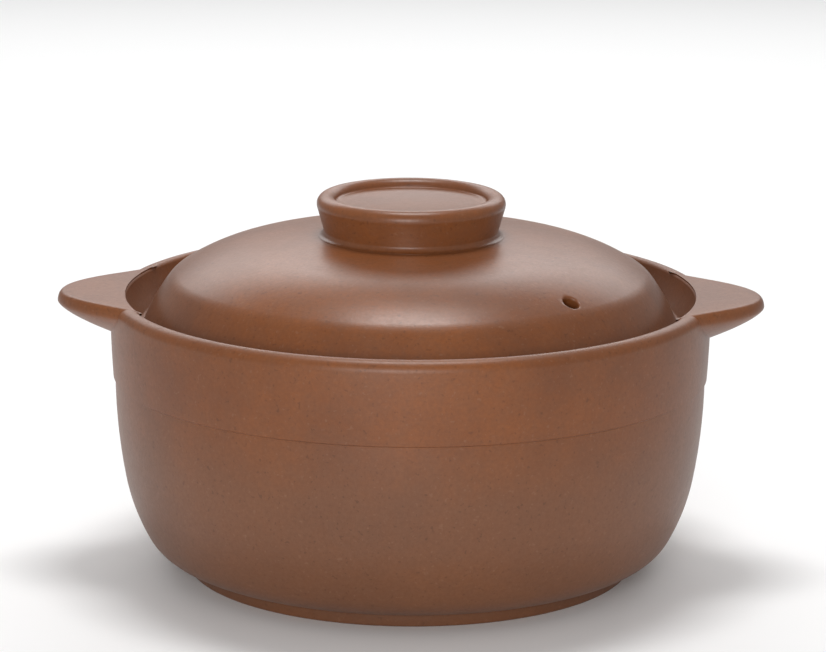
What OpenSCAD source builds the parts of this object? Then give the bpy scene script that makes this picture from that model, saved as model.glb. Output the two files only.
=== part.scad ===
// A lidded clay pot for the stovetop: a thrown vessel with two luted ears and a
// sunken lid seat, and a domed lid with a ring-shaped grip and a steam hole.
// The origin is the middle of the foot's underside, +Z is up, and the ears lie
// along X. All sizes are in millimetres.

/* [Pot] */
// Outer diameter of the rim
rim_d = 240; // [236:1:244]
// Height of the pot from the underside of its foot to the top of the rim
pot_h = 112; // [110:0.5:116]
// Height of the fine turned step that ends the upper band
step_z = 79; // [74:1:82]
// How far the upper band stands out over the wall below the step
step_depth = 0.8; // [0.4:0.1:1.5]
// Thickness of the clay wall
wall = 8; // [6:0.5:9]
// Diameter of the foot
foot_d = 180; // [160:2:184]
// Height of the foot under the curve of the wall
foot_h = 5.2; // [4:0.2:6]
// Depth of the hollow turned into the underside of the foot
foot_hollow = 1.5; // [0.5:0.5:3]

/* [Rim and lid seat] */
// Width of the rounding on the outside of the lip
lip_outer_round = 4.4; // [2:0.2:5]
// Radius of the rounding on the inside of the lip
lip_inner_round = 2; // [1:0.2:3]
// Depth of the lid seat below the top of the rim
seat_drop = 13.5; // [12:0.5:15]
// Inner diameter of the ledge that carries the lid
throat_d = 201; // [198:1:203]
// Outer diameter of the ledge
ledge_d = 219; // [218:0.5:221]

/* [Ears] */
// Length over the tips of both ears
ears_span = 282.6; // [266:1:290]
// Angle round the pot from the middle of an ear to its end
ear_half_angle = 22.5; // [20:0.5:26]
// Thickness of an ear where it meets the wall
ear_root = 16; // [12:0.5:20]
// Height of the blunt edge of an ear
ear_edge = 4.2; // [3:0.2:6]
// How far the right ear was set off the cross line of the pot, in degrees
right_ear_turn = -2; // [-4:0.5:4]

/* [Lid] */
// Diameter of the lid
lid_d = 214.4; // [212:0.2:216]
// Thickness of the dome
lid_t = 6.5; // [5:0.5:8]
// Outer diameter of the flange that drops into the throat
flange_d = 197; // [192:1:197]
// Width of the flange
flange_w = 5; // [4:0.5:7]
// Height of the flange below the seat
flange_h = 7; // [4:0.5:9]
// Diameter of the steam hole
steam_d = 6.4; // [4:0.2:8]
// Distance of the steam hole from the lid's axis
steam_r = 89.8; // [80:0.5:92]
// Direction of the steam hole round the axis, in degrees
steam_turn = -46.7; // [-180:0.5:180]

/* [Knob] */
// Widest diameter of the knob
knob_d = 75.4; // [60:1:84]
// Height of the knob from the crown of the dome to its lip
knob_h = 14.8; // [13:0.2:18]
// Radius of the knob's rounded lip
knob_lip = 3.8; // [3:0.2:4.4]
// Depth of the dish in the top of the knob
knob_dish = 3.3; // [2:0.1:3.8]
// How much narrower the neck is than the lip, on each side
knob_taper = 2.8; // [1.5:0.1:4]

/* [Glaze] */
// Thickness of the glaze inside the pot and the lid
glaze_t = 0.6; // [0.4:0.1:1]

/* [Hidden] */

clay = [0.49, 0.32, 0.23];
clay_light = [0.55, 0.38, 0.28];
glaze = [0.30, 0.17, 0.11];
turned = 180; // $fn of the turned forms
arc_step = 3; // degrees between points on an arc

rim_r = rim_d / 2;
foot_r = foot_d / 2;
seat_z = pot_h - seat_drop;
throat_r = throat_d / 2;
ledge_r = ledge_d / 2;
crest_r = rim_r - lip_outer_round;
band_swell = 0.95; // the band leans in by this much from the lip to the step
band_r = rim_r - band_swell;
step_r = band_r - step_depth;
step_h = 0.5; // height of the step's own slope

// The pot's wall is three arcs that join smoothly, from the step down to the foot.
// Angles are from +X, so 0 is the vertical wall at the step.
wall_radii = [223, 78, 17.6];
wall_angles = [0, -10.5, -28.8, -75.4];
wall_end_gap = 1.2; // how far the wall's curve ends above the foot
inner_corner = 18.5; // radius of the corner between the inner wall and the floor
shelf_slope_h = 9; // height of the slope under the ledge
ledge_h = 5; // height of the ledge at the throat

// The dome is four such arcs from its crown to its edge: the wide crown, the
// side, the tight shoulder and the steep skirt.
dome_radii = [404, 74, 15.6, 78];
dome_angles = [90, 80.7, 57.3, 36.3, 21.5];
dome_arcs_r = 107.2; // radius at which these arcs end, before they are scaled to lid_d
lid_edge = 0.6; // rounding under the lid's edge
lid_r = lid_d / 2;
flange_r = flange_d / 2;
flange_inner_r = flange_r - flange_w;
steam_chamfer = 1.1; // width of the rounded mouth of the steam hole
neck_fillet = 2.3;

// Centres of arcs that join smoothly, the first one given
function centres(first, radii, angles, i = 0) =
    i == len(radii) - 1
        ? [first]
        : concat([first], centres(first + (radii[i] - radii[i + 1]) * unit(angles[i + 1]), radii, angles, i + 1));

function unit(a) = [cos(a), sin(a)];

// Points along one arc, with one about every arc_step degrees
function arc(centre, r, from, to) =
    let (n = max(1, ceil(abs(to - from) / arc_step)))
    [for (k = [0:n]) centre + r * unit(from + (to - from) * k / n)];

// Points along such a chain of arcs, moved inwards by inset
function chain(first, radii, angles, inset = 0) =
    let (c = centres(first, radii, angles))
    [for (i = [0:len(radii) - 1])
        let (points = arc(c[i], radii[i] - inset, angles[i], angles[i + 1]))
        for (k = [(i == 0 ? 0 : 1):len(points) - 1]) points[k]];

function reversed(list) = [for (i = [len(list) - 1:-1:0]) list[i]];
function last(list) = list[len(list) - 1];

// The wall's arcs are scaled so that they span from the step to the foot
wall_arcs_h = -last(chain([0, 0], wall_radii, wall_angles))[1];
wall_scale = (step_z - foot_h - wall_end_gap) / wall_arcs_h;
wall_r = wall_scale * wall_radii;
wall_first = [step_r - wall_r[0], step_z];
outer_wall = chain(wall_first, wall_r, wall_angles);

// The cavity: down the throat, under the ledge, down the wall and over the floor
cavity_radii = [wall_r[0] - wall, wall_r[1] - wall, inner_corner];
cavity_angles = [wall_angles[0], wall_angles[1], wall_angles[2], -90];
cavity_r = step_r - wall;
function cavity(inset) =
    concat([[throat_r - inset, seat_z - 1],
            [throat_r - inset, seat_z - ledge_h - inset / 2],
            [cavity_r - inset, seat_z - ledge_h - shelf_slope_h - inset / 2]],
           chain(wall_first, cavity_radii, cavity_angles, inset));
floor_z = last(cavity(0))[1];

// The outside of the pot, from the foot up to the crest of the lip
pot_outside = concat(
    [[foot_r - 0.8, 0], [foot_r, 0.8], [foot_r + 0.3, foot_h]],
    reversed(outer_wall),
    [[band_r, step_z + step_h]],
    [for (t = [0.25:0.25:1])
        [rim_r - band_swell * pow(1 - t, 2),
         step_z + step_h + (pot_h - lip_outer_round - step_z - step_h) * t]],
    [for (a = [15:15:90]) [crest_r, pot_h - lip_outer_round] + lip_outer_round * unit(a)]);

// The rest of the pot's section, from the crest of the lip in and down to the floor
pot_inside = concat(
    [for (a = [105:15:180]) [crest_r, pot_h - lip_inner_round] + lip_inner_round * unit(a)],
    [[ledge_r, seat_z], [throat_r + 0.5, seat_z], [throat_r, seat_z - 0.5]],
    cavity(0),
    [[0, floor_z], [0, foot_hollow], [foot_r - 11, foot_hollow], [foot_r - 9.5, 0]]);

// The dome's arcs are scaled to the lid's diameter and set down on the seat
dome_scale = lid_r / dome_arcs_r;
dome_r = dome_scale * dome_radii;
dome_drop = last(chain([0, -dome_r[0]], dome_r, dome_angles))[1];
crown_z = seat_z + lid_edge - dome_drop;
dome_first = [0, crown_z - dome_r[0]];
dome_outside = chain(dome_first, dome_r, dome_angles);
dome_edge_r = last(dome_outside)[0];

// The underside of the dome, which follows its first three arcs inside the flange
function dome_under(inset) =
    [for (p = chain(dome_first, [for (i = [0:2]) dome_r[i]], [for (i = [0:3]) dome_angles[i]], lid_t + inset))
        if (p[0] < flange_inner_r - inset) p];

// Height and slope of the dome at a distance from the axis on its second arc
side_centre = centres(dome_first, dome_r, dome_angles)[1];
steam_tilt = asin((steam_r - side_centre[0]) / dome_r[1]);
steam_z = side_centre[1] + dome_r[1] * cos(steam_tilt);

knob_r = knob_d / 2;
lip_centre = [knob_r - knob_lip, crown_z + knob_h - knob_lip];
neck_r = knob_r - knob_taper;
taper_angle = atan(knob_taper / (lip_centre[1] - crown_z));
dome_under_knob = 1.6; // how far the dome falls from its crown to the edge of the knob

module pot_body() {
    color(clay)
        rotate_extrude($fn = turned)
            polygon(concat(pot_outside, pot_inside));
}

// All that lies within the outside of the pot, to cut the ears' roots to the wall
module pot_filled() {
    rotate_extrude($fn = turned)
        polygon(concat([[0, 0]], pot_outside, [[crest_r, pot_h + 1], [0, pot_h + 1]]));
}

// The ear's reach at an angle from its middle, as a share of its full reach
function reach(a) = pow(cos(90 * a / ear_half_angle), 1.7);

// A section through the ear at an angle from its middle: the flat top, the edge
// rounded over into the blunt tip, and the underside falling to the root. The
// underside's depth below the top grows with the distance in from the tip.
ear_buried_r = crest_r - 32; // inner end of the section, well inside the pot
ear_top_round = 2.6; // how far the flat top ends short of the tip
function ear_section(a) =
    let (tip = crest_r + (ears_span / 2 - crest_r) * reach(a),
         deepest = ears_span / 2 - rim_r,
         under = [for (s = [0, 0.04, 0.1, 0.2, 0.35, 0.5, 0.7, 1, 1.4]) s * deepest])
    concat(
        [[ear_buried_r, pot_h]],
        [for (t = [90:-22.5:0])
            [tip - ear_top_round * (1 - cos(t)), pot_h - ear_edge * (1 - sin(t))]],
        [for (s = under)
            if (s > 0) [tip - s, pot_h - ear_edge - (ear_root - ear_edge) * pow(s / deepest, 0.72)]],
        [[ear_buried_r, pot_h - ear_root - 3.5]]);

// The ear is one skin over these sections, closed at both of its ends
module ear_blank() {
    angles = [for (i = [-18:18]) (ear_half_angle - 0.05) * i / 18];
    n = len(ear_section(0));
    points = [for (a = angles) for (p = ear_section(a)) [p[0] * cos(a), p[0] * sin(a), p[1]]];
    skin = [for (j = [0:len(angles) - 2]) for (k = [0:n - 1])
        let (a = j * n + k, b = j * n + (k + 1) % n)
        for (f = [[a, b, a + n], [b, b + n, a + n]]) f];
    first_end = [for (k = [n - 1:-1:0]) k];
    last_end = [for (k = [0:n - 1]) (len(angles) - 1) * n + k];
    polyhedron(points, concat(skin, [first_end, last_end]), convexity = 4);
}

module ear() {
    color(clay_light)
        difference() {
            ear_blank();
            pot_filled();
        }
}

module left_ear() {
    rotate([0, 0, 180]) ear();
}

module right_ear() {
    rotate([0, 0, right_ear_turn]) ear();
}

module pot_glaze() {
    color(glaze)
        rotate_extrude($fn = turned)
            polygon(concat(cavity(0), [[0, floor_z], [0, floor_z + glaze_t]], reversed(cavity(glaze_t))));
}

// The steam hole runs square to the dome, with its outer mouth worn round
module steam_hole() {
    rotate([0, 0, steam_turn])
        translate([steam_r, 0, steam_z])
            rotate([0, steam_tilt, 0]) {
                cylinder(h = 4 * lid_t, d = steam_d, center = true, $fn = 48);
                translate([0, 0, -steam_chamfer])
                    cylinder(h = 2 * steam_chamfer, d1 = steam_d, d2 = steam_d + 4 * steam_chamfer, $fn = 48);
            }
}

module lid_dome() {
    color(clay)
        difference() {
            rotate_extrude($fn = turned)
                polygon(concat(
                    dome_outside,
                    [[dome_edge_r - lid_edge, seat_z], [flange_r, seat_z],
                     [flange_r, seat_z - flange_h + 1], [flange_r - 1, seat_z - flange_h],
                     [flange_inner_r + 1, seat_z - flange_h], [flange_inner_r, seat_z - flange_h + 1],
                     [flange_inner_r, seat_z]],
                    reversed(dome_under(0))));
            steam_hole();
        }
}

module lid_knob() {
    dish_z = lip_centre[1] + knob_lip - knob_dish;
    dish_edge_r = lip_centre[0] - knob_lip;
    color(clay_light)
        rotate_extrude($fn = turned)
            difference() {
                polygon(concat(
                    [[0, crown_z - dome_under_knob - 1], [neck_r + neck_fillet, crown_z - dome_under_knob - 1]],
                    arc([neck_r + neck_fillet, crown_z - dome_under_knob + neck_fillet], neck_fillet, 270, 180),
                    arc(lip_centre, knob_lip, -taper_angle, 180),
                    [[dish_edge_r, dish_z + 0.6], [dish_edge_r - 0.8, dish_z], [0, dish_z - 0.5]]));
                polygon(concat(dome_outside, [[0, seat_z]]));
            }
}

module lid_glaze() {
    color(glaze)
        difference() {
            rotate_extrude($fn = turned)
                polygon(concat(
                    dome_under(0),
                    [[flange_inner_r, seat_z], [flange_inner_r - glaze_t, seat_z]],
                    reversed(dome_under(glaze_t))));
            steam_hole();
        }
}

pot_body();
left_ear();
right_ear();
pot_glaze();
lid_dome();
lid_knob();
lid_glaze();
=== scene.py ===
"""A lidded clay pot for the stovetop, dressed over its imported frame.

Every turned form is a profile carried round the Z axis, and each ear is a skin over sections
through it. Lengths are in millimetres in the profiles and are turned to metres on the way in.
"""
import math

import bpy
import numpy as np
from mathutils import Matrix, Vector


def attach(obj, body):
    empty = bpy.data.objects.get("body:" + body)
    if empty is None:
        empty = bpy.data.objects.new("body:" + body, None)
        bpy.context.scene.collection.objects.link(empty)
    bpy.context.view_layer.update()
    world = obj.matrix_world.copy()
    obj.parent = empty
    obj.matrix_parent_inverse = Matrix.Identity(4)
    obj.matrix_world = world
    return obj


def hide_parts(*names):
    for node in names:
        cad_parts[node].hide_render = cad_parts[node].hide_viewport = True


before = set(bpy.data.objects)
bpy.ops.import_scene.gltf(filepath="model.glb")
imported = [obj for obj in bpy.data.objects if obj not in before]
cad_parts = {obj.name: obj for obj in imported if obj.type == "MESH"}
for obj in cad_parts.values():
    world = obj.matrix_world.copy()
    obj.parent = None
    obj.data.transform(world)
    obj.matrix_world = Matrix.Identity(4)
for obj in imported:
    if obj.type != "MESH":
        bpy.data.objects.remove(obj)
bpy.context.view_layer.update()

MM = 0.001
TURNS = 360  # faces round a turned form
DRILL_TURNS, DRILL_DEPTH, DRILL_TOP, DRILL_MARGIN, DRILL_CLEAR = 64, 20, 8, 0.6, 0.05
CORNER_ANGLE = math.radians(40)  # edges sharper than this are drawn sharp

# Pot
RIM_R, POT_H, STEP_Z, STEP_DEPTH = 120.0, 112.0, 79.0, 0.8
WALL, FOOT_R, FOOT_H, FOOT_HOLLOW = 8.0, 90.0, 5.2, 1.5
LIP_OUT, LIP_IN = 4.4, 2.0
SEAT_Z, THROAT_R, LEDGE_R, SEAT_BEVEL, LEDGE_EASE = 98.5, 100.5, 109.5, 0.5, 0.1
BAND_SWELL, STEP_H = 0.95, 0.5
FOOT_ROUND, FOOT_FLARE, FOOT_RING, HOLLOW_SLOPE = 0.8, 0.3, 11.0, 1.5
WALL_RADII, WALL_ANGLES, WALL_GAP = [223.0, 78.0, 17.6], [0.0, -10.5, -28.8, -75.4], 1.2
INNER_CORNER, SHELF_SLOPE, LEDGE_H, THROAT_EASE = 18.5, 9.0, 5.0, 1.0
# Ears
EAR_SPAN, EAR_HALF, EAR_ROOT, EAR_EDGE, EAR_TOP_ROUND = 282.6, 22.5, 16.0, 4.2, 2.6
EAR_TURNS = {"left_ear": 180.0, "right_ear": -2.0}
EAR_POWER, HULL_POWER, EAR_BURIED, EAR_SECTIONS = 1.7, 0.72, 1.5, 121
# Lid
LID_R, LID_T, LID_EDGE = 107.2, 6.5, 0.6
FLANGE_R, FLANGE_W, FLANGE_H, FLANGE_ROUND = 98.5, 5.0, 7.0, 1.0
DOME_RADII, DOME_ANGLES = [404.0, 74.0, 15.6, 78.0], [90.0, 80.7, 57.3, 36.3, 21.5]
DOME_ARCS_R = 107.2
STEAM_D, STEAM_R, STEAM_TURN, STEAM_CHAMFER = 6.4, 89.8, -46.7, 1.1
KNOB_R, KNOB_H, KNOB_LIP, KNOB_DISH, KNOB_TAPER = 37.7, 14.8, 3.8, 3.3, 2.8
NECK_FILLET, KNOB_FALL, KNOB_SUNK, DISH_CORNER, DISH_STEP, DISH_SAG = 2.3, 1.6, 0.2, 1.2, 0.9, 0.5
GLAZE_T, LINING_SUNK = 0.6, 0.1


def unit(degrees):
    """Points on the unit circle at angles from +X."""
    a = np.radians(np.asarray(degrees, float))
    return np.stack([np.cos(a), np.sin(a)], -1)


def arc(centre, r, start, end, step=1.5):
    """An arc: centre plus r times the unit circle from start to end degrees."""
    n = max(1, math.ceil(abs(end - start) / step))
    return np.asarray(centre, float) + r * unit(np.linspace(start, end, n + 1))


def centres(first, radii, angles):
    """Centres of arcs that join smoothly: each lies on the line from the last centre to the join."""
    found = [np.asarray(first, float)]
    for i in range(len(radii) - 1):
        found.append(found[-1] + (radii[i] - radii[i + 1]) * unit(angles[i + 1]))
    return found


def chain(first, radii, angles, inset=0.0):
    """Points along such arcs, each arc moved in towards its centre by inset."""
    parts = [arc(c, r - inset, a, b) for c, r, a, b in
             zip(centres(first, radii, angles), radii, angles[:-1], angles[1:])]
    return np.concatenate([parts[0]] + [p[1:] for p in parts[1:]])


def mesh_object(name, points, faces, smooth=True):
    """A mesh in metres from points in millimetres and a list of faces."""
    mesh = bpy.data.meshes.new(name)
    mesh.from_pydata((np.asarray(points) * MM).tolist(), [], faces)
    mesh.validate()
    mesh.polygons.foreach_set("use_smooth", np.full(len(mesh.polygons), smooth))
    obj = bpy.data.objects.new(name, mesh)
    bpy.context.scene.collection.objects.link(obj)
    return obj


def turned(name, outline, turns=TURNS):
    """A turned solid: each outline point (r, z) goes round the axis to (r cos t, r sin t, z).
    The outline starts and ends on the axis, where single points close it, or is a closed loop."""
    outline = np.asarray(outline, float)
    closed = outline[0][0] > 1e-6
    t = np.linspace(0, 2 * np.pi, turns, endpoint=False)
    ring = outline if closed else outline[1:-1]
    n = len(ring)
    grid = np.stack([ring[:, None, 0] * np.cos(t), ring[:, None, 0] * np.sin(t),
                     np.repeat(ring[:, 1:2], turns, 1)], -1).reshape(-1, 3)
    i = np.arange(n if closed else n - 1)[:, None]
    j = np.arange(turns)[None, :]
    i2, j2 = (i + 1) % n, (j + 1) % turns
    quads = np.stack([i * turns + j, i * turns + j2, i2 * turns + j2, i2 * turns + j], -1).reshape(-1, 4)
    faces = quads.tolist()
    if not closed:
        grid = np.concatenate([grid, [[0, 0, outline[0][1]], [0, 0, outline[-1][1]]]])
        first, last = n * turns, n * turns + 1
        k = np.arange(turns)
        k2 = (k + 1) % turns
        faces += np.stack([k2, k, np.full(turns, first)], -1).tolist()
        faces += np.stack([(n - 1) * turns + k, (n - 1) * turns + k2, np.full(turns, last)], -1).tolist()
    return mesh_object(name, grid, faces)


# The pot's section
step_r = RIM_R - BAND_SWELL - STEP_DEPTH
crest_r = RIM_R - LIP_OUT
wall_scale = (STEP_Z - FOOT_H - WALL_GAP) / -chain([0, 0], WALL_RADII, WALL_ANGLES)[-1][1]
wall_radii = [wall_scale * r for r in WALL_RADII]
wall_first = [step_r - wall_radii[0], STEP_Z]
outer_wall = chain(wall_first, wall_radii, WALL_ANGLES)
band_top = POT_H - LIP_OUT
t_band = np.linspace(0, 1, 9)
band = np.stack([RIM_R - BAND_SWELL * (1 - t_band) ** 2,
                 STEP_Z + STEP_H + (band_top - STEP_Z - STEP_H) * t_band], -1)


def cavity(inset):
    """The inside of the pot from the throat down to the middle of the floor."""
    inner_r = step_r - WALL
    top = [[THROAT_R - inset, SEAT_Z - THROAT_EASE], [THROAT_R - inset, SEAT_Z - LEDGE_H - inset / 2],
           [inner_r - inset, SEAT_Z - LEDGE_H - SHELF_SLOPE - inset / 2]]
    arcs = chain(wall_first, [wall_radii[0] - WALL, wall_radii[1] - WALL, INNER_CORNER],
                 WALL_ANGLES[:3] + [-90.0], inset)
    return np.concatenate([top, arcs])


def pot_outline():
    """The vessel's section: hollow and foot, the wall's arcs up to the step, the band, the lip's two
    quarter rounds, the ledge for the lid, and the cavity back to the axis."""
    floor_z = cavity(0)[-1][1]
    foot = arc([FOOT_R - FOOT_ROUND, FOOT_ROUND], FOOT_ROUND, -90, 0, 30)
    ring_r = FOOT_R - FOOT_RING
    ledge_r = LEDGE_R + LEDGE_EASE
    lip = arc([crest_r, band_top], LIP_OUT, 0, 90, 6)[1:]
    inner_lip = arc([crest_r, POT_H - LIP_IN], LIP_IN, 90, 180, 10)[1:]
    return np.concatenate([
        [[0, FOOT_HOLLOW], [ring_r, FOOT_HOLLOW], [ring_r + HOLLOW_SLOPE, 0]],
        foot, [[FOOT_R + FOOT_FLARE, FOOT_H]],
        outer_wall[::-1], band, lip, inner_lip,
        [[ledge_r, SEAT_Z + SEAT_BEVEL], [ledge_r - SEAT_BEVEL, SEAT_Z],
         [THROAT_R + SEAT_BEVEL, SEAT_Z], [THROAT_R, SEAT_Z - SEAT_BEVEL]],
        cavity(0), [[0, floor_z]]])


# The lid's section
dome_scale = LID_R / DOME_ARCS_R
dome_radii = [dome_scale * r for r in DOME_RADII]
crown_z = SEAT_Z + LID_EDGE - chain([0, -dome_radii[0]], dome_radii, DOME_ANGLES)[-1][1]
dome_first = [0, crown_z - dome_radii[0]]
dome_outside = chain(dome_first, dome_radii, DOME_ANGLES)
flange_inner_r = FLANGE_R - FLANGE_W


def dome_under(inset):
    """The underside of the dome inside its flange."""
    points = chain(dome_first, dome_radii[:3], DOME_ANGLES[:4], LID_T + inset)
    return points[points[:, 0] < flange_inner_r - inset]


def lid_outline():
    """The lid's section: the dome's arcs out to its edge, the flange that drops inside the throat,
    and the underside, which keeps the dome's own centres."""
    edge_r = dome_outside[-1][0]
    round_z = SEAT_Z - FLANGE_H + FLANGE_ROUND
    rounded = arc([edge_r - LID_EDGE, SEAT_Z + LID_EDGE], LID_EDGE, 0, -90, 30)
    return np.concatenate([
        dome_outside[:-1], rounded,
        [[FLANGE_R, SEAT_Z]], arc([FLANGE_R - FLANGE_ROUND, round_z], FLANGE_ROUND, 0, -90, 30),
        arc([flange_inner_r + FLANGE_ROUND, round_z], FLANGE_ROUND, -90, -180, 30),
        [[flange_inner_r, SEAT_Z]],
        dome_under(0)[::-1]])[::-1]


lip_centre = np.array([KNOB_R - KNOB_LIP, crown_z + KNOB_H - KNOB_LIP])
neck_r = KNOB_R - KNOB_TAPER
taper = math.degrees(math.atan(KNOB_TAPER / (lip_centre[1] - crown_z)))


def knob_outline():
    """The grip's section: a fillet at the neck, sides that widen to a round lip, and a shallow dish."""
    dish_z = lip_centre[1] + KNOB_LIP - KNOB_DISH
    foot_z = crown_z - KNOB_FALL
    return np.concatenate([
        [[0, crown_z - KNOB_SUNK], [neck_r + NECK_FILLET, foot_z - KNOB_SUNK / 2]],
        arc([neck_r + NECK_FILLET, foot_z + NECK_FILLET], NECK_FILLET, 270, 180, 10),
        arc(lip_centre, KNOB_LIP, -taper, 160, 8),
        arc([lip_centre[0] - KNOB_LIP - DISH_STEP, dish_z + DISH_CORNER], DISH_CORNER, -20, -90, 15),
        [[0, dish_z - DISH_SAG]]])


def steam_cutter():
    """The steam hole's drill: a straight bore that widens to the worn mouth."""
    centre = centres(dome_first, dome_radii, DOME_ANGLES)[1]
    tilt = math.asin((STEAM_R - centre[0]) / dome_radii[1])
    z = centre[1] + dome_radii[1] * math.cos(tilt)
    r = STEAM_D / 2
    worn = STEAM_CHAMFER
    flare = arc([r + worn, -worn], worn, 180, 90, 15)
    wide = r + worn + DRILL_MARGIN
    outline = np.concatenate([[[0, -DRILL_DEPTH], [r, -DRILL_DEPTH]], flare,
                              [[wide, DRILL_CLEAR], [wide, DRILL_TOP], [0, DRILL_TOP]]])
    cutter = turned("steam_cutter", outline, DRILL_TURNS)
    a = math.radians(STEAM_TURN)
    places = np.empty(len(cutter.data.vertices) * 3)
    cutter.data.vertices.foreach_get("co", places)
    x, y, h = places.reshape(-1, 3).T
    out = x * math.cos(tilt) + h * math.sin(tilt) + STEAM_R * MM
    up = -x * math.sin(tilt) + h * math.cos(tilt) + z * MM
    moved = np.stack([out * math.cos(a) - y * math.sin(a), out * math.sin(a) + y * math.cos(a), up], -1)
    cutter.data.vertices.foreach_set("co", moved.ravel())
    return cutter


def bored(obj, cutter):
    """Cuts the drill out of a piece and keeps the result."""
    modifier = obj.modifiers.new("bore", "BOOLEAN")
    modifier.operation, modifier.object, modifier.solver = "DIFFERENCE", cutter, "EXACT"
    graph = bpy.context.evaluated_depsgraph_get()
    cut = bpy.data.meshes.new_from_object(obj.evaluated_get(graph))
    obj.modifiers.clear()
    obj.data = cut
    return obj


def ear(name, turn):
    """An ear: at each angle from its middle its section reaches out by a power of the cosine, is flat
    on top, rounds over a blunt edge, and falls away underneath to its root inside the wall."""
    angles = np.linspace(-EAR_HALF, EAR_HALF, EAR_SECTIONS)
    share = np.cos(np.radians(90 * angles / EAR_HALF)).clip(0) ** EAR_POWER
    tip = crest_r + (EAR_SPAN / 2 - crest_r) * share
    deepest = EAR_SPAN / 2 - RIM_R
    root_r = crest_r - EAR_BURIED
    tops = np.linspace(0, 1, 8)[:-1]
    edge = np.radians(np.linspace(90, 0, 10))
    under = np.linspace(0, 1, 22)[1:] ** 1.6  # closer together near the edge
    flat_end = tip - EAR_TOP_ROUND
    r_top = root_r + (flat_end - root_r)[:, None] * tops
    z_top = np.full_like(r_top, POT_H)
    r_edge = tip[:, None] - EAR_TOP_ROUND * (1 - np.cos(edge))
    z_edge = np.broadcast_to(POT_H - EAR_EDGE * (1 - np.sin(edge)), r_edge.shape)
    reach_in = (tip - root_r)[:, None] * under
    r_under = tip[:, None] - reach_in
    z_under = POT_H - EAR_EDGE - (EAR_ROOT - EAR_EDGE) * (reach_in / deepest) ** HULL_POWER
    r = np.concatenate([r_top, r_edge, r_under], 1)
    z = np.concatenate([z_top, z_edge, z_under], 1)
    a = np.radians(angles + turn)[:, None]
    points = np.stack([r * np.cos(a), r * np.sin(a), z], -1)
    rows, n = r.shape
    i, k = np.arange(rows - 1)[:, None], np.arange(n)[None, :]
    k2 = (k + 1) % n
    quads = np.stack([i * n + k, i * n + k2, (i + 1) * n + k2, (i + 1) * n + k], -1).reshape(-1, 4)
    faces = quads.tolist() + [list(range(n))[::-1], list(range((rows - 1) * n, rows * n))]
    return mesh_object(name, points.reshape(-1, 3), faces)


class Value:
    """A shader value whose arithmetic adds Math nodes."""

    def __init__(self, tree, socket):
        self.tree, self.socket = tree, socket

    def _math(self, operation, a, b):
        node = self.tree.nodes.new("ShaderNodeMath")
        node.operation = operation
        for slot, value in zip(node.inputs, (a, b)):
            if isinstance(value, Value):
                self.tree.links.new(value.socket, slot)
            else:
                slot.default_value = value
        return Value(self.tree, node.outputs[0])

    def __add__(self, other):
        return self._math("ADD", self, other)

    __radd__ = __add__

    def __mul__(self, other):
        return self._math("MULTIPLY", self, other)

    __rmul__ = __mul__


class Finish:
    """A material and a short way to add nodes to it."""

    def __init__(self, name):
        self.material = bpy.data.materials.new(name)
        self.material.use_nodes = True
        self.tree = self.material.node_tree
        self.tree.nodes.clear()

    def node(self, kind, output=0, **inputs):
        """Adds a node: its sockets are set by name, with underscores for blanks."""
        made = self.tree.nodes.new(kind)
        for key, value in inputs.items():
            self.feed(made.inputs[key.replace("_", " ")], value)
        return Value(self.tree, made.outputs[output])

    def feed(self, socket, value):
        """Links a value to a socket, or sets the socket to a constant, where a triple is a colour."""
        if isinstance(value, Value):
            self.tree.links.new(value.socket, socket)
        else:
            socket.default_value = (*value, 1) if socket.type == "RGBA" else value

    def mix(self, factor, first, second):
        """Mixes two colours."""
        made = self.tree.nodes.new("ShaderNodeMix")
        made.data_type = "RGBA"
        for index, value in ((0, factor), (6, first), (7, second)):  # the sockets of a colour mix
            self.feed(made.inputs[index], value)
        return Value(self.tree, made.outputs[2])

    def close(self, shader):
        """Leads a shader to the output and gives the finished material."""
        out = self.tree.nodes.new("ShaderNodeOutputMaterial")
        self.tree.links.new(shader.socket, out.inputs[0])
        return self.material


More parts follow.
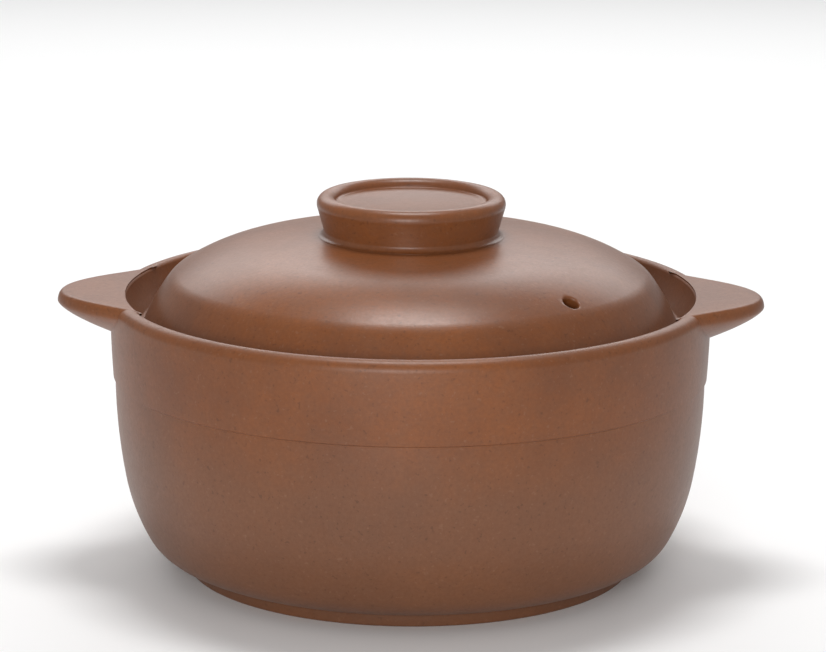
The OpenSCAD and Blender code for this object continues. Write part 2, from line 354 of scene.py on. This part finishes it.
def fired_clay(name, base, warm, ashy, roughness=0.42):
    """Bare fired clay: a warm body colour that drifts in broad clouds, fine dark and pale specks,
    faint turning lines round the axis, and a satin surface of tiny pits."""
    f = Finish(name)
    place = f.node("ShaderNodeTexCoord", output=3)
    clouds = f.node("ShaderNodeTexNoise", Vector=place, Scale=14.0, Detail=5.0, Roughness=0.6)
    grain = f.node("ShaderNodeTexNoise", Vector=place, Scale=700.0, Detail=4.0, Roughness=0.7)
    mottle = f.node("ShaderNodeTexNoise", Vector=place, Scale=190.0, Detail=4.0, Roughness=0.7)
    specks = f.node("ShaderNodeTexNoise", Vector=place, Scale=620.0, Detail=1.0)
    flat = f.node("ShaderNodeMapping", Vector=place, Scale=(5.0, 5.0, 480.0))
    lines = f.node("ShaderNodeTexNoise", Vector=flat, Scale=1.0, Detail=3.0)
    height_axis = f.node("ShaderNodeSeparateXYZ", output=2, Vector=place)
    low = f.node("ShaderNodeMapRange", Value=height_axis + clouds * 0.03, From_Min=0.1, From_Max=0.07)
    cloud_mask = f.node("ShaderNodeMapRange", Value=clouds, From_Min=0.38, From_Max=0.62)
    grain_mask = f.node("ShaderNodeMapRange", Value=grain, From_Min=0.35, From_Max=0.65)
    mottle_mask = f.node("ShaderNodeMapRange", Value=mottle, From_Min=0.38, From_Max=0.66)
    dark_mask = f.node("ShaderNodeMapRange", Value=specks, From_Min=0.66, From_Max=0.74)
    pale_mask = f.node("ShaderNodeMapRange", Value=specks, From_Min=0.33, From_Max=0.25)
    colour = f.mix(cloud_mask, base, warm)
    colour = f.mix(low * 0.55, colour, ashy)
    colour = f.mix(mottle_mask * 0.22, colour, ashy)
    colour = f.mix(grain_mask * 0.3, colour, tuple(0.62 * c for c in base))
    colour = f.mix(dark_mask * 0.35, colour, tuple(0.35 * c for c in base))
    colour = f.mix(pale_mask * 0.35, colour, tuple(1.5 * c for c in ashy))
    height = grain * 0.5 + lines * 0.35 + mottle * 0.6
    bump = f.node("ShaderNodeBump", Height=height, Strength=0.16, Distance=0.0005)
    rough = grain * 0.1 + mottle * 0.1 + (roughness - 0.1)
    shader = f.node("ShaderNodeBsdfPrincipled", Base_Color=colour, Roughness=rough, Normal=bump, IOR=1.45)
    return f.close(shader)


def inner_glaze(name):
    """Dark brown glaze: pooled darker in broad clouds, glossy, with a slight orange-peel ripple."""
    f = Finish(name)
    place = f.node("ShaderNodeTexCoord", output=3)
    clouds = f.node("ShaderNodeTexNoise", Vector=place, Scale=22.0, Detail=3.0)
    ripple = f.node("ShaderNodeTexNoise", Vector=place, Scale=180.0, Detail=2.0)
    colour = f.mix(clouds, (0.055, 0.02, 0.01), (0.13, 0.05, 0.024))
    bump = f.node("ShaderNodeBump", Height=ripple, Strength=0.12, Distance=0.0004)
    shader = f.node("ShaderNodeBsdfPrincipled", Base_Color=colour, Roughness=0.12, Normal=bump, IOR=1.5)
    return f.close(shader)


def plain(name, colour, roughness=0.9):
    """One even matt colour."""
    f = Finish(name)
    return f.close(f.node("ShaderNodeBsdfPrincipled", Base_Color=colour, Roughness=roughness))


CLAY_BASE, CLAY_WARM, CLAY_ASHY = (0.155, 0.048, 0.014), (0.215, 0.066, 0.016), (0.145, 0.069, 0.038)
clay = fired_clay("clay", CLAY_BASE, CLAY_WARM, CLAY_ASHY)
clay_lid = fired_clay("clay_lid", CLAY_BASE, CLAY_WARM, CLAY_ASHY, 0.36)
glaze = inner_glaze("inner_glaze")


def finish_piece(obj, node, body, material):
    """Gives a piece its material, its body and its sharp corners, and hides the node that it stands for."""
    obj.data.materials.clear()
    obj.data.materials.append(material)
    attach(obj, body)
    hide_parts(node)
    edges = obj.modifiers.new("corners", "EDGE_SPLIT")
    edges.split_angle = CORNER_ANGLE
    return obj


cutter = steam_cutter()
finish_piece(turned("clay_vessel", pot_outline()), "pot_body", "pot", clay)
for side, turn in EAR_TURNS.items():
    finish_piece(ear("luted_" + side, turn), side, "pot", clay)
finish_piece(bored(turned("clay_lid", lid_outline()), cutter), "lid_dome", "lid", clay_lid)
finish_piece(turned("ring_grip", knob_outline()), "lid_knob", "lid", clay_lid)
pot_skin, lid_skin = cavity(0), dome_under(0)
glazed = cavity(GLAZE_T)
pot_lining = turned("pot_lining", np.concatenate([
    [[0, pot_skin[-1][1] - LINING_SUNK]], pot_skin[::-1], glazed, [[0, glazed[-1][1]]]]))
finish_piece(pot_lining, "pot_glaze", "pot", glaze)
lid_lining = turned("lid_lining", np.concatenate([
    dome_under(GLAZE_T), [[flange_inner_r - GLAZE_T, SEAT_Z], [flange_inner_r, SEAT_Z]], lid_skin[::-1]]))
finish_piece(bored(lid_lining, cutter), "lid_glaze", "lid", glaze)
bpy.data.objects.remove(cutter)

# The stage: a pale floor with the object's shadow, and a white sky
FLOOR_HALF = 3000
corners = ((-1, -1), (1, -1), (1, 1), (-1, 1))
floor = mesh_object("floor", [[x * FLOOR_HALF, y * FLOOR_HALF, 0] for x, y in corners], [[0, 1, 2, 3]], False)
floor.data.materials.append(plain("pale_floor", (0.9, 0.9, 0.9)))

SKY_LIGHT, BACKDROP = 0.42, 0.97
world = bpy.data.worlds.new("studio")
bpy.context.scene.world = world
world.use_nodes = True
tree = world.node_tree
tree.nodes.clear()
rays = tree.nodes.new("ShaderNodeLightPath")
sky, seen = tree.nodes.new("ShaderNodeBackground"), tree.nodes.new("ShaderNodeBackground")
for background, strength in ((sky, SKY_LIGHT), (seen, BACKDROP)):
    background.inputs["Color"].default_value = (1, 1, 1, 1)
    background.inputs["Strength"].default_value = strength
pick, out = tree.nodes.new("ShaderNodeMixShader"), tree.nodes.new("ShaderNodeOutputWorld")
tree.links.new(rays.outputs["Is Camera Ray"], pick.inputs[0])
tree.links.new(sky.outputs[0], pick.inputs[1])
tree.links.new(seen.outputs[0], pick.inputs[2])
tree.links.new(pick.outputs[0], out.inputs[0])


def area_lamp(name, place, aim, size, power):
    """A soft box at place, turned to face aim."""
    data = bpy.data.lights.new(name, "AREA")
    data.shape, data.size, data.size_y, data.energy = "RECTANGLE", size[0], size[1], power
    lamp = bpy.data.objects.new(name, data)
    lamp.location = place
    lamp.rotation_euler = (Vector(aim) - Vector(place)).to_track_quat("-Z", "Y").to_euler()
    bpy.context.scene.collection.objects.link(lamp)


area_lamp("top_softbox", place=(0.0, 0.12, 1.2), aim=(0, 0, 0.1), size=(0.42, 0.22), power=7)
area_lamp("back_softbox", place=(0.0, 1.5, 1.0), aim=(0, 0, 0.1), size=(2.2, 0.7), power=14)
area_lamp("front_fill", place=(-0.25, -2.2, 0.55), aim=(0, 0, 0.06), size=(1.0, 0.8), power=26)

# The camera, at the photograph's own angle
CAMERA_DISTANCE, CAMERA_RISE, CAMERA_ROLL = 1.5, math.radians(13.34), math.radians(0.40)
CAMERA_AIM = np.array([0.00102, 0.0, 0.09749])
FOCAL_PIXELS, PICTURE_WIDTH, SENSOR = 3737.5, 826, 36
camera = bpy.data.objects.new("camera", bpy.data.cameras.new("camera"))
bpy.context.scene.collection.objects.link(camera)
bpy.context.scene.camera = camera
camera.data.sensor_width = SENSOR
camera.data.lens = SENSOR * FOCAL_PIXELS / PICTURE_WIDTH
back = np.array([0, -math.cos(CAMERA_RISE), math.sin(CAMERA_RISE)])
up = np.array([0, math.sin(CAMERA_RISE), math.cos(CAMERA_RISE)])
right = np.array([1.0, 0, 0])
rolled_right = math.cos(CAMERA_ROLL) * right + math.sin(CAMERA_ROLL) * up
rolled_up = math.cos(CAMERA_ROLL) * up - math.sin(CAMERA_ROLL) * right
turn = np.stack([rolled_right, rolled_up, back], 1)
place = CAMERA_AIM + CAMERA_DISTANCE * back
camera.matrix_world = Matrix([[*row, at] for row, at in zip(turn, place)] + [[0, 0, 0, 1]])
bpy.context.scene.view_settings.view_transform = "Standard"
